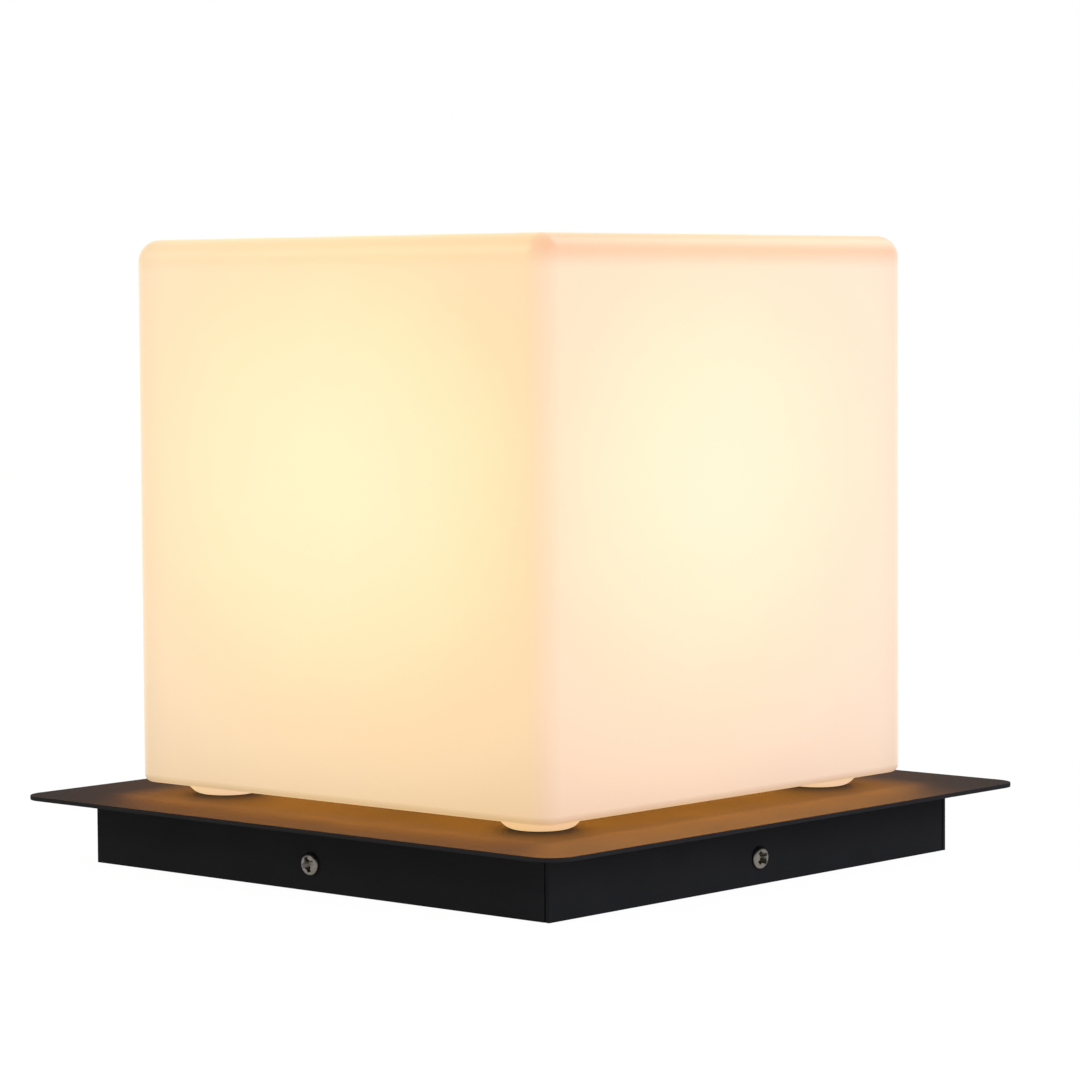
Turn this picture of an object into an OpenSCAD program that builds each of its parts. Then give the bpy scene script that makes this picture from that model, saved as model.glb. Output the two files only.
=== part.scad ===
// Light for the top of a square post: a folded steel cap with a thin top plate,
// and an opal cube shade that stands on it on four moulded feet.
// Millimetres. Z up, origin at the middle of the cap's lower edge.

/* [Top plate] */
// Width of the square top plate
plate_w = 260; // [240:1:320]
// Thickness of the top plate
plate_t = 1.5; // [1:0.1:4]
// Radius of the plate's corners, seen from above
plate_corner_r = 10; // [2:0.5:25]

/* [Skirt tray] */
// Outer width of the folded tray
skirt_w = 220; // [214:1:236]
// Height of the tray
skirt_h = 23.5; // [22:0.5:60]
// Thickness of the tray's sheet
sheet_t = 1.5; // [1:0.1:2.5]
// Inner radius of the folds
fold_r = 0.8; // [0.3:0.1:3]
// Open gap between two flanges at a corner
corner_gap = 0.6; // [0.2:0.1:1.5]
// Diameter of the relief hole where two folds meet
relief_d = 5; // [3:0.5:8]

/* [Post seal] */
// Width of the seal strip
post_seal_w = 15; // [6:0.5:18]
// Thickness of the seal strip
post_seal_t = 4; // [2:0.5:6]

/* [Side screws] */
// Height of the side screws above the tray's lower edge
side_screw_z = 9.5; // [7:0.5:12]
// Length of a side screw under its head
side_screw_len = 16; // [10:1:22]
// Length of a side screw's pointed tip
side_screw_tip = 4; // [2:0.5:6]

/* [Screws and washers] */
// Radius of the side and shade screws
screw_r = 2; // [1.5:0.1:2.4]
// Radius of their pan heads
head_r = 4; // [3.2:0.1:4.8]
// Height of their pan heads
head_h = 2.6; // [1.8:0.1:3.2]
// Radius of the hole that a screw passes through
screw_hole_r = 2.5; // [2.5:0.1:3]
// Radius of the washers
washer_r = 4.6; // [4.2:0.1:6]
// Thickness of the washers
washer_t = 0.8; // [0.5:0.1:1.5]
// Length of a shade screw under its head
shade_screw_len = 14; // [10:1:15]

/* [Shade] */
// Width of the square shade
shade_w = 200; // [176:1:220]
// Height of the shade without its feet
shade_h = 196.5; // [180:0.5:260]
// Radius of the shade's upper and upright edges
shade_r = 8; // [7:0.5:16]
// Radius of the shade's lower edges
shade_low_r = 3; // [1:0.5:6]
// Wall of the shade
shade_wall = 3.5; // [2:0.1:5]
// Radius of the round opening in the shade's floor
opening_r = 55; // [42:1:65]
// Depth of the stiffening collar round the opening
collar_h = 8; // [4:0.5:20]

/* [Feet] */
// Distance of a foot's axis from the shade's faces
foot_inset = 23.5; // [19:0.5:30]
// Height of a foot, the gap under the shade
foot_h = 4.5; // [4:0.5:7]
// Radius of a foot where it meets the shade
foot_top_r = 15.5; // [15:0.5:18]
// Radius that rounds a foot's lower edge
foot_round_r = 6; // [3:0.5:7]
// Radius of the boss inside the shade over a foot
boss_r = 8; // [6:0.5:10]
// Height of that boss above the shade's floor
boss_h = 7; // [5:0.5:15]
// Radius of a brass insert
insert_r = 4; // [3.4:0.1:5]
// Length of a brass insert
insert_len = 12; // [8:0.5:13]
// Radius of the hole in an insert
insert_hole_r = 2.3; // [2.3:0.1:2.8]

/* [Shade seal] */
// Width of the rubber ring under the opening
shade_seal_w = 5; // [3:0.5:10]
// How far the ring reaches inside the opening's edge
shade_seal_in = 1.5; // [0:0.5:6]

/* [Lampholder] */
// Height of the lampholder
holder_h = 58; // [50:1:75]
// Outer radius of the lampholder
holder_r = 20; // [19:0.5:24]
// Wall of the lampholder
holder_wall = 2.3; // [1.5:0.1:2.5]
// Height of the lampholder's lower part
holder_base_h = 22; // [18:0.5:24]
// Number of grip flutes round the lower part
flutes = 24; // [12:1:36]
// Radius of a grip flute
flute_r = 0.9; // [0.5:0.1:1.2]
// Inner radius of the threaded shell
socket_r = 13.6; // [13.5:0.1:14]
// Wall of the threaded shell
socket_t = 0.5; // [0.3:0.1:0.8]
// Thickness of the contact block
block_t = 12; // [8:0.5:12]

/* [Nipple] */
// Outer radius of the hollow nipple
nipple_r = 5; // [4.5:0.1:5.5]
// Radius of the nipple's bore
nipple_bore_r = 3.8; // [3.4:0.1:4]
// Length of the nipple below the tray's sheet
nipple_down = 7; // [6:0.5:9]
// Length of the nipple above the top plate
nipple_up = 7; // [5:0.5:12]
// Width across the flats of the nipple's nut
nut_af = 14; // [13:0.5:17]
// Thickness of that nut
nut_t = 3.5; // [2:0.5:4]

/* [Lamp] */
// Depth of the lamp's cap in the lampholder
cap_depth = 25; // [22:0.5:26]
// Radius of the lamp's cap
cap_r = 13; // [12.5:0.1:13.1]
// Length of the lamp from its contact to its top
lamp_len = 110; // [100:1:118]
// Largest radius of the lamp
lamp_r = 30; // [25:0.5:35]
// Wall of the lamp's housing and diffuser
lamp_wall = 1.6; // [1:0.1:2.5]
// Drop from the lamp's widest place to the diffuser's rim
diffuser_drop = 14; // [8:0.5:18]

/* [Wiring] */
// Length of the wiring cover
cover_l = 84; // [80:1:88]
// Width of the wiring cover
cover_w = 54; // [50:1:60]
// Depth of the wiring cover below the tray's sheet
cover_h = 18; // [17:0.5:19.5]
// Wall of the wiring cover
cover_wall = 2; // [1.5:0.1:2.5]
// Overhang of the cover past the nipple's axis
cover_past = 22; // [20:0.5:26]
// Radius of the cover's corners
cover_corner_r = 5; // [3:0.5:8]
// Radius of the bore for the supply cable
entry_r = 4; // [3:0.1:4.5]
// Distance of the supply cable's entry from the cover's middle
entry_side = 12; // [8:0.5:12]
// Width of one pole of the terminal block
pole_w = 10; // [9:0.5:11]
// Length of the terminal block along the leads
block_l = 17; // [15:0.5:19]
// Height of the terminal block
block_h = 13; // [12:0.5:14]
// Distance of the terminal block from the nipple's axis
block_off = 18; // [16:0.5:19]
// Outer radius of a lead
lead_r = 1.1; // [0.8:0.1:1.2]

/* [Hidden] */
$fn = 64;

// Clearances
eps = 0.01;          // overrun of a cut through a face
seat_gap = 0.3;      // between a lifting piece and its seal
fit_gap = 0.05;      // between an insert and its hole
loose_gap = 0.3;     // round a piece that slides past another
seal_gap = 0.5;      // between the post seal and the flanges

// Levels, from the tray's lower edge up
sheet_z = skirt_h - sheet_t;              // underside of the tray's sheet
plate_top = skirt_h + plate_t;            // top face of the plate
shade_z = plate_top + foot_h;             // underside of the shade
floor_z = shade_z + shade_wall;           // top of the shade's floor
rim_z = plate_top + holder_h;             // rim of the lampholder
contact_z = rim_z - cap_depth;            // tip of the lamp's contact
block_z = contact_z - 2;                  // top of the contact block
lamp_mid_z = contact_z + lamp_len - lamp_r;
diffuser_z = lamp_mid_z - diffuser_drop;  // where housing and diffuser meet
housing_z = rim_z + 1.2;                  // lower end of the lamp's housing
housing_h = diffuser_z - housing_z;       // its height
tip_r = 4.5;                              // radius of the lamp's contact
tip_t = 1.5;                              // its thickness
insulator_h = 3;                          // height of the insulator above it
cap_low_r = cap_r - 2.5;                  // radius where insulator and cap meet
cap_wall = 0.6;                           // sheet of the lamp's cap
driver_w = 18;                            // width of the driver board
driver_t = 1.6;                           // its thickness
driver_lift = 12;                         // its lower edge, above the contact
board_drop = 2;                           // underside of the light-source board, from the diffuser's rim
board_t = 1.5;                            // its thickness

fold_out_r = fold_r + sheet_t;            // outer radius of a fold
foot_x = shade_w / 2 - foot_inset;        // feet and shade screws, from the middle
bend = sqrt(2) / 2;                       // sine and cosine of a foot's slope, 45 degrees
foot_side_r = foot_top_r - foot_h + (1 - bend) * foot_round_r;  // where a foot's round meets its slope
foot_flat_r = foot_side_r - bend * foot_round_r;  // its flat underside
cover_x = cover_past - cover_l / 2;       // middle of the wiring cover
ear_l = 10;                               // cover ear, along the wall
ear_w = 9;                                // cover ear, out from the wall
ear_t = 2;                                // cover ear, thickness
ear_y = cover_w / 2 + ear_w / 2;          // cover screws, from the middle
entry_z = sheet_z - 9;                    // axis of the supply cable's entry
block_x = -block_off - block_l / 2;       // middle of the terminal block
tube_r = 2.6;                             // outer radius of a terminal tube
wire_hole_r = 1.7;                        // bore of a terminal tube
tube_z = sheet_z - 8;                     // axis of the terminal tubes
small_r = 1.5;                            // radius of the small screws
small_head_r = 2.8;                       // radius of their heads
small_head_h = 1.8;                       // height of their heads
web_drop = block_h - 2;                   // underside of the web between two poles, from the sheet
earth_pos = [12, -16];                    // earth screw, from the nipple
tag_reach = small_head_r + 3;             // ring tag, from its screw to the barrel
barrel_l = 4;                             // length of the tag's barrel
barrel_r = lead_r + 0.2;                  // radius of the barrel's bore
lead_turn = 8;                            // where the leads turn, from the nipple's axis
barrel_z = sheet_z - washer_t - barrel_r - 0.4;  // axis of the barrel
saddle_off = 14;                          // cable saddle, from the cover's end wall
saddle_x = cover_x - cover_l / 2 + saddle_off;  // its middle
saddle_l = 8;                             // cable saddle, along the cable
saddle_span = 9;                          // its screws, from the cable's middle
saddle_t = 2;                             // its thickness
saddle_drop = entry_r + 0.2;              // radius of its channel

black = "#1d1e21";
opal = "#fdf3e0";
steel = "#b9bbbd";
brass = "#c9a452";
rubber = "#2b2b2d";
nylon = "#e8e6df";

// Square outline with round corners
module rounded_square(w, r) {
    rounded_rect(w, w, r);
}

// Rectangle with round corners
module rounded_rect(l, w, r) {
    square([l - 2 * r, w], center = true);
    square([l, w - 2 * r], center = true);
    for (x = [-1, 1], y = [-1, 1])
        translate([x * (l / 2 - r), y * (w / 2 - r)]) circle(r);
}

// Square box with every edge round, the lower edges by a smaller radius:
// slabs and rods, with balls at the upper corners and rings at the lower ones
module rounded_box(w, h, r, low_r) {
    side = w - 2 * r;
    translate([-side / 2, -side / 2, 0]) cube([side, side, h]);
    for (turn = [0, 90])
        rotate([0, 0, turn]) {
            translate([-w / 2, -side / 2, low_r]) cube([w, side, h - r - low_r]);
            translate([low_r - w / 2, -side / 2, 0]) cube([w - 2 * low_r, side, 2 * low_r]);
            for (y = [-1, 1]) {
                translate([-side / 2, y * side / 2, h - r]) rotate([0, 90, 0]) cylinder(r = r, h = side);
                translate([-side / 2, y * (w / 2 - low_r), low_r]) rotate([0, 90, 0])
                    cylinder(r = low_r, h = side);
            }
        }
    for (x = [-1, 1], y = [-1, 1])
        translate([x * side / 2, y * side / 2, 0]) {
            translate([0, 0, low_r]) cylinder(r = r, h = h - r - low_r);
            translate([0, 0, h - r]) sphere(r);
            cylinder(r = r - low_r, h = 2 * low_r);
            rotate_extrude() translate([r - low_r, low_r]) circle(low_r);
        }
}

// Places its child at the four feet
module at_feet() {
    for (x = [-1, 1], y = [-1, 1])
        translate([x * foot_x, y * foot_x, 0]) children();
}

// Pan head that grows along +Z, with a cross recess in its top
module pan_head(r, h) {
    dome = (r * r + 1) / 2;
    recess_l = 1.15 * r;
    difference() {
        intersection() {
            cylinder(r = r, h = h);
            translate([0, 0, h - dome]) sphere(dome);
        }
        for (turn = [0, 90])
            rotate([0, 0, turn])
                translate([0, 0, h]) cube([recess_l, 0.24 * r, 1.3 * h], center = true);
    }
}

// Small screw that hangs under a sheet: head below z = 0, shank above
module small_screw(shank) {
    mirror([0, 0, 1]) pan_head(small_head_r, small_head_h);
    cylinder(r = small_r, h = shank);
}

// Ring
module ring(r_out, r_in, h) {
    difference() {
        cylinder(r = r_out, h = h);
        translate([0, 0, -eps]) cylinder(r = r_in, h = h + 2 * eps);
    }
}

// Holes that the plate and the tray's sheet share
module shared_holes() {
    at_feet() translate([0, 0, sheet_z - 1]) cylinder(r = screw_hole_r, h = 2 + sheet_t + plate_t);
    translate([0, 0, sheet_z - 1]) cylinder(r = nipple_r + loose_gap, h = 2 + sheet_t + plate_t);
}

// Places of the small screws that hold things under the tray's sheet
module at_small_screws() {
    for (y = [-1, 1]) translate([cover_x, y * ear_y, 0]) children();
    for (y = [-1, 1]) translate([saddle_x, -entry_side + y * saddle_span, 0]) children();
    translate([block_x, pole_w / 2, 0]) children();
    translate([earth_pos[0], earth_pos[1], 0]) children();
}

module top_plate() {
    color(black)
        difference() {
            translate([0, 0, skirt_h]) linear_extrude(plate_t) rounded_square(plate_w, plate_corner_r);
            shared_holes();
        }
}

// One flange with its fold, along the tray's right-hand side
module flange() {
    x_out = skirt_w / 2;
    y_low = -skirt_w / 2;
    y_high = skirt_w / 2 - sheet_t - corner_gap;
    difference() {
        translate([0, y_low, 0]) cube([x_out, y_high - y_low, skirt_h]);
        // hollow inside the flange, up to the fold
        translate([-eps, y_low - eps, -eps])
            cube([x_out - sheet_t + eps, y_high - y_low + 2 * eps, sheet_z - fold_r + eps]);
        translate([-eps, y_low - eps, -eps])
            cube([x_out - fold_out_r + eps, y_high - y_low + 2 * eps, skirt_h + 2 * eps]);
        translate([x_out - fold_out_r, y_low - eps, sheet_z - fold_r]) rotate([-90, 0, 0])
            cylinder(r = fold_r, h = y_high - y_low + 2 * eps);
        // outer round of the fold
        translate([x_out - fold_out_r, y_low - eps, skirt_h - fold_out_r])
            rotate([-90, 0, 0]) linear_extrude(y_high - y_low + 2 * eps)
                difference() {
                    translate([0, -fold_out_r - eps]) square([fold_out_r + eps, fold_out_r + eps]);
                    circle(fold_out_r);
                }
    }
}

// Blank folded down on its four sides; each flange covers the end of the next one
module skirt_tray() {
    flat = skirt_w - 2 * fold_out_r;
    color(black)
        difference() {
            union() {
                translate([-flat / 2, -flat / 2, sheet_z]) cube([flat, flat, sheet_t]);
                for (turn = [0:90:270]) rotate([0, 0, turn]) flange();
            }
            shared_holes();
            at_small_screws() translate([0, 0, sheet_z - 1])
                cylinder(r = small_r + fit_gap, h = 2 + sheet_t);
            for (x = [-1, 1], y = [-1, 1])
                translate([x * flat / 2, y * flat / 2, sheet_z - fold_out_r])
                    cylinder(d = relief_d, h = 2 * fold_out_r);
            for (turn = [0:90:270])
                rotate([0, 0, turn]) translate([skirt_w / 2 - sheet_t - 1, 0, side_screw_z])
                    rotate([0, 90, 0]) cylinder(r = screw_r + loose_gap, h = sheet_t + 2);
        }
}

module post_seal() {
    outer = skirt_w - 2 * fold_out_r - 2 * seal_gap;
    color(rubber)
        difference() {
            translate([0, 0, sheet_z - post_seal_t]) linear_extrude(post_seal_t)
                difference() {
                    square(outer, center = true);
                    square(outer - 2 * post_seal_w, center = true);
                }
            // room for the washers, which a wide strip or a small tray brings close
            at_feet() translate([0, 0, sheet_z - post_seal_t - eps])
                cylinder(r = washer_r + seal_gap, h = post_seal_t + 2 * eps);
        }
}

module shade_seal() {
    r_in = opening_r - shade_seal_in;
    color(rubber) translate([0, 0, plate_top]) ring(r_in + shade_seal_w, r_in, foot_h - seat_gap);
}

module shade_screws() {
    color(steel)
        at_feet() translate([0, 0, sheet_z - washer_t]) {
            mirror([0, 0, 1]) pan_head(head_r, head_h);
            cylinder(r = screw_r, h = shade_screw_len);
        }
}

module shade_washers() {
    color(steel) at_feet() translate([0, 0, sheet_z - washer_t]) ring(washer_r, screw_hole_r, washer_t);
}

// Lower part of the lampholder: a fluted cup on the plate, with the nipple's thread in its floor
module lampholder_base() {
    floor_t = 3;
    step_z = block_z - block_t;
    color("#f0eee8")
        difference() {
            translate([0, 0, plate_top]) cylinder(r = holder_r, h = holder_base_h);
            translate([0, 0, plate_top - eps]) cylinder(r = nipple_r, h = floor_t + 2 * eps);
            translate([0, 0, plate_top + floor_t])
                cylinder(r = holder_r - 2 * holder_wall, h = holder_base_h);
            translate([0, 0, step_z]) cylinder(r = holder_r - holder_wall, h = holder_base_h);
            for (i = [0:flutes - 1])
                rotate([0, 0, i * 360 / flutes]) translate([holder_r + 0.4, 0, plate_top + 3])
                    cylinder(r = flute_r, h = holder_base_h - 6, $fn = 24);
        }
}

module lampholder_shell() {
    lip_t = 2;
    shell_z = plate_top + holder_base_h;
    color("#f0eee8")
        difference() {
            translate([0, 0, shell_z]) cylinder(r = holder_r, h = rim_z - shell_z);
            translate([0, 0, shell_z - eps])
                cylinder(r = holder_r - holder_wall, h = rim_z - shell_z - lip_t);
            translate([0, 0, shell_z])
                cylinder(r = socket_r + socket_t + loose_gap, h = rim_z - shell_z + eps);
        }
}

// Ceramic block with a seat for the centre contact and two holes for the leads
module contact_block() {
    color("#f4f1ea")
        translate([0, 0, block_z - block_t])
            difference() {
                cylinder(r = holder_r - holder_wall - 0.1, h = block_t);
                for (y = [-1, 1]) translate([0, y * 8, -eps]) cylinder(r = lead_r + 0.4, h = 5);
                for (x = [-1, 1]) translate([x * 10, 0, -eps]) cylinder(r = 1.6, h = block_t + 2 * eps);
            }
}

// Brass shell that takes the lamp's thread, with a foot ring on the contact block
module socket_thread_shell() {
    color(brass)
        translate([0, 0, block_z]) {
            ring(socket_r + socket_t, socket_r, rim_z - block_z - 3);
            ring(socket_r + socket_t, socket_r - 4, 0.6);
        }
}

// Brass tongue under the lamp's contact
module centre_contact() {
    color(brass)
        translate([0, 0, block_z]) {
            cylinder(r = 4, h = 0.6);
            translate([-1.5, -4, 0]) cube([3, 8, 0.6]);
            cylinder(r = 2.2, h = contact_z - block_z - loose_gap);
        }
}

module nipple() {
    color(brass)
        translate([0, 0, sheet_z - nipple_down])
            ring(nipple_r, nipple_bore_r, nipple_down + sheet_t + plate_t + nipple_up);
}

module nipple_washer() {
    color(steel) translate([0, 0, sheet_z - washer_t]) ring(nipple_r + 3.5, nipple_r + 0.1, washer_t);
}

module nipple_nut() {
    color(brass)
        translate([0, 0, sheet_z - washer_t - nut_t])
            difference() {
                cylinder(d = nut_af / cos(30), h = nut_t, $fn = 6);
                translate([0, 0, -eps]) cylinder(r = nipple_r, h = nut_t + 2 * eps);
            }
}

// Moulded cup over the wiring, open against the tray, with an ear for a screw on each long side
module wiring_cover() {
    low = sheet_z - cover_h;
    color("#3a3b3e")
        difference() {
            union() {
                translate([cover_x, 0, low]) linear_extrude(cover_h)
                    rounded_rect(cover_l, cover_w, cover_corner_r);
                translate([cover_x - ear_l / 2, -cover_w / 2 - ear_w, sheet_z - ear_t])
                    cube([ear_l, cover_w + 2 * ear_w, ear_t]);
            }
            translate([cover_x, 0, low + cover_wall]) linear_extrude(cover_h)
                rounded_rect(cover_l - 2 * cover_wall, cover_w - 2 * cover_wall,
                    cover_corner_r - cover_wall);
            for (y = [-1, 1])
                translate([cover_x, y * ear_y, sheet_z - ear_t - eps])
                    cylinder(r = small_r + 0.2, h = ear_t + 2 * eps);
            translate([cover_x - cover_l / 2 - eps, -entry_side, entry_z]) rotate([0, 90, 0])
                cylinder(r = entry_r + 1.5, h = cover_wall + 2 * eps);
        }
}

module cover_screws() {
    color(steel)
        for (y = [-1, 1])
            translate([cover_x, y * ear_y, sheet_z - ear_t]) small_screw(ear_t + sheet_t);
}

// Rubber grommet in the cover's end wall, with a groove that takes the wall
module cable_grommet() {
    lip = 2;
    color(rubber)
        translate([cover_x - cover_l / 2 - lip, -entry_side, entry_z]) rotate([0, 90, 0])
            difference() {
                union() {
                    cylinder(r = entry_r + 3, h = lip);
                    cylinder(r = entry_r + 1.5, h = 2 * lip + cover_wall);
                    translate([0, 0, lip + cover_wall]) cylinder(r = entry_r + 3, h = lip);
                }
                translate([0, 0, -eps]) cylinder(r = entry_r, h = 2 * lip + cover_wall + 2 * eps);
            }
}

// Hump that clamps the supply cable against the tray's sheet
module cable_saddle() {
    axis_z = sheet_z - saddle_drop;
    half = saddle_span + 3.5;
    color(nylon)
        translate([saddle_x, -entry_side, 0])
            difference() {
                union() {
                    translate([-saddle_l / 2, -half, sheet_z - saddle_t])
                        cube([saddle_l, 2 * half, saddle_t]);
                    translate([-saddle_l / 2, 0, axis_z]) rotate([0, 90, 0])
                        cylinder(r = saddle_drop + saddle_t, h = saddle_l);
                }
                translate([-saddle_l, 0, axis_z]) rotate([0, 90, 0])
                    cylinder(r = saddle_drop, h = 2 * saddle_l);
                translate([-saddle_l, -saddle_drop, axis_z])
                    cube([2 * saddle_l, 2 * saddle_drop, 2 * saddle_drop]);
                translate([-saddle_l, -2 * half, sheet_z]) cube([2 * saddle_l, 4 * half, 2 * saddle_drop]);
                for (y = [-1, 1])
                    translate([0, y * saddle_span, sheet_z - saddle_t - eps])
                        cylinder(r = small_r + 0.2, h = saddle_t + 2 * eps);
            }
}

module saddle_screws() {
    color(steel)
        for (y = [-1, 1])
            translate([saddle_x, -entry_side + y * saddle_span, sheet_z - saddle_t])
                small_screw(saddle_t + sheet_t);
}

// Places its child on the axis of each of the three terminal tubes
module at_poles() {
    for (i = [-1:1]) translate([block_x, i * pole_w, tube_z]) children();
}

// Screw wells of one tube, from below
module at_wells() {
    at_poles() for (x = [-1, 1]) translate([x * block_l / 4, 0, 0]) children();
}

module terminal_block() {
    wall_l = pole_w - 2.5;
    color(nylon)
        difference() {
            union() {
                for (i = [-1:1])
                    translate([block_x - block_l / 2, i * pole_w - wall_l / 2, sheet_z - block_h])
                        cube([block_l, wall_l, block_h]);
                translate([block_x - block_l / 4, -pole_w, sheet_z - web_drop])
                    cube([block_l / 2, 2 * pole_w, web_drop]);
            }
            at_poles() translate([-block_l, 0, 0]) rotate([0, 90, 0])
                cylinder(r = tube_r, h = 2 * block_l);
            at_wells() mirror([0, 0, 1]) cylinder(r = small_r + 0.4, h = block_h);
            translate([block_x, pole_w / 2, sheet_z - block_h])
                cylinder(r = small_r + 0.2, h = block_h + 1);
            translate([block_x, pole_w / 2, sheet_z - block_h - 1])
                cylinder(r = small_head_r + 0.2, h = 1 + block_h - web_drop);
        }
}

module terminal_tubes() {
    color(brass)
        difference() {
            at_poles() translate([1 - block_l / 2, 0, 0]) rotate([0, 90, 0])
                cylinder(r = tube_r - fit_gap, h = block_l - 2);
            at_poles() translate([-block_l, 0, 0]) rotate([0, 90, 0])
                cylinder(r = wire_hole_r, h = 2 * block_l);
            at_wells() mirror([0, 0, 1]) cylinder(r = small_r, h = block_h);
        }
}

module terminal_screws() {
    slot_w = 0.6;
    color(steel)
        at_wells()
            difference() {
                translate([0, 0, -5]) cylinder(r = small_r, h = 5 - wire_hole_r);
                translate([0, 0, -5]) cube([4 * small_r, slot_w, 2 * slot_w], center = true);
            }
}

module block_screw() {
    color(steel)
        translate([block_x, pole_w / 2, sheet_z - web_drop]) small_screw(web_drop + sheet_t);
}

module earth_screw() {
    color(steel)
        translate([earth_pos[0], earth_pos[1], sheet_z - 2 * washer_t])
            small_screw(2 * washer_t + sheet_t);
}

module earth_washer() {
    color(steel)
        translate([earth_pos[0], earth_pos[1], sheet_z - washer_t])
            ring(small_head_r + 0.6, small_r, washer_t);
}

// Ring tag on the earth lead, with its crimped barrel
module earth_tag() {
    color(brass)
        translate([earth_pos[0], earth_pos[1], 0])
            difference() {
                union() {
                    translate([0, 0, sheet_z - 2 * washer_t])
                        cylinder(r = small_head_r + 0.6, h = washer_t);
                    translate([-tag_reach, -1.5, sheet_z - 2 * washer_t]) cube([tag_reach, 3, washer_t]);
                    translate([-tag_reach - barrel_l, 0, barrel_z]) rotate([0, 90, 0])
                        cylinder(r = barrel_r + 0.4, h = barrel_l);
                }
                translate([0, 0, sheet_z - 2 * washer_t - eps])
                    cylinder(r = small_r, h = washer_t + 2 * eps);
                translate([-tag_reach - barrel_l - 1, 0, barrel_z]) rotate([0, 90, 0])
                    cylinder(r = barrel_r, h = barrel_l);
            }
}

// Leads: a tube swept along a smooth curve through points chosen by hand
function unit(v) = v / norm(v);

// Point on a smooth curve through p, in the stretch that starts at point i
function curve_point(p, i, t) =
    let (a = p[max(i - 1, 0)], b = p[i], c = p[i + 1], d = p[min(i + 2, len(p) - 1)])
    0.5 * (2 * b + (c - a) * t + (2 * a - 5 * b + 4 * c - d) * t * t + (3 * b - a - 3 * c + d) * t * t * t);

function curve(p, steps) = concat(
    [for (i = [0:len(p) - 2], s = [0:steps - 1]) curve_point(p, i, s / steps)], [p[len(p) - 1]]);

module lead(points, ref) {
    sides = 8;
    path = curve(points, 4);
    last = len(path) - 1;
    way = [for (i = [0:last]) unit(path[min(i + 1, last)] - path[max(i - 1, 0)])];
    rings = [for (i = [0:last]) let (n = unit(cross(way[i], ref)), b = cross(way[i], n))
        [for (k = [0:sides - 1]) let (t = k * 360 / sides) path[i] + lead_r * (cos(t) * n + sin(t) * b)]];
    verts = [for (r = rings, v = r) v];
    wall = [for (i = [0:last - 1], k = [0:sides - 1])
        let (m = (k + 1) % sides, a = i * sides, b = a + sides)
        each [[a + k, a + m, b + m], [a + k, b + m, b + k]]];
    end = last * sides;
    caps = [for (k = [1:sides - 2]) each [[0, k + 1, k], [end, end + k, end + k + 1]]];
    polyhedron(points = verts, faces = concat(wall, caps));
}

// Runs from its tube in the terminal block, under the nipple's end and up into the contact block
module holder_lead(side) {
    in_x = block_x + block_l / 2 - 0.5;
    low_z = sheet_z - nipple_down - 2.5;
    lead([
        [in_x, side * pole_w, tube_z],
        [in_x + 3, side * pole_w, tube_z - 0.5],
        [-lead_turn, side * 7, low_z],
        [-3, side * 2.5, low_z],
        [0, side * 1.5, sheet_z - nipple_down],
        [0, side * 1.5, plate_top + nipple_up],
        [0, side * 5, plate_top + nipple_up + 5],
        [0, side * 8, block_z - block_t - 2],
        [0, side * 8, block_z - block_t + 4]
    ], [1, 0.2, 0]);
}

module live_lead() {
    color("saddlebrown") holder_lead(1);
}

module neutral_lead() {
    color("royalblue") holder_lead(-1);
}

module earth_lead() {
    in_x = block_x + block_l / 2 - 0.5;
    tag_x = earth_pos[0] - tag_reach - 1.2;
    color("olivedrab")
        lead([
            [in_x, 0, tube_z],
            [in_x + 4, -0.5, tube_z - 4],
            [-lead_turn, earth_pos[1] + 5, tube_z - 3],
            [tag_x - 6, earth_pos[1] + 0.3, barrel_z - 0.5],
            [tag_x - 3, earth_pos[1], barrel_z],
            [tag_x, earth_pos[1], barrel_z]
        ], [0, 0.1, 1]);
}

// Profile of half a foot: its flat underside at z = 0, a round, and a slope up to the shade's floor
module foot_profile() {
    turn_x = bend * foot_round_r;
    side_z = foot_round_r - turn_x;
    polygon([[0, 0], [foot_flat_r, 0], [foot_side_r, side_z], [foot_top_r, foot_h],
        [foot_top_r, foot_h + eps], [0, foot_h + eps]]);
    translate([foot_flat_r, foot_round_r])
        intersection() {
            circle(foot_round_r);
            polygon([[0, -foot_round_r / 2], [0, -foot_round_r], [foot_round_r, -1.2 * foot_round_r],
                [turn_x, -turn_x]]);
        }
}

// Moulded opal cube: rounded shell, floor with a round opening and collar, feet below and bosses above
module shade() {
    inner = shade_w - 2 * shade_wall;
    inner_low_r = max(shade_low_r - shade_wall, 1);
    color(opal)
        difference() {
            union() {
                difference() {
                    translate([0, 0, shade_z]) rounded_box(shade_w, shade_h, shade_r, shade_low_r);
                    translate([0, 0, floor_z])
                        rounded_box(inner, shade_h - 2 * shade_wall, shade_r - shade_wall, inner_low_r);
                }
                translate([0, 0, shade_z + shade_wall / 2])
                    cylinder(r = opening_r + shade_wall, h = shade_wall / 2 + collar_h);
                at_feet() translate([0, 0, plate_top]) rotate_extrude() foot_profile();
                at_feet() translate([0, 0, shade_z + shade_wall / 2])
                    cylinder(r = boss_r, h = shade_wall / 2 + boss_h);
            }
            translate([0, 0, shade_z - 1])
                cylinder(r = opening_r, h = collar_h + 2 * shade_wall + 2);
            at_feet() translate([0, 0, plate_top - eps])
                cylinder(r = insert_r + fit_gap, h = insert_len + eps);
        }
}

module foot_inserts() {
    color(brass)
        at_feet() translate([0, 0, plate_top]) ring(insert_r, insert_hole_r, insert_len);
}

module lamp_contact() {
    color(steel)
        translate([0, 0, contact_z])
            intersection() {
                cylinder(r = tip_r, h = tip_t);
                translate([0, 0, tip_r + insulator_h]) sphere(tip_r + insulator_h);
            }
}

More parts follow.
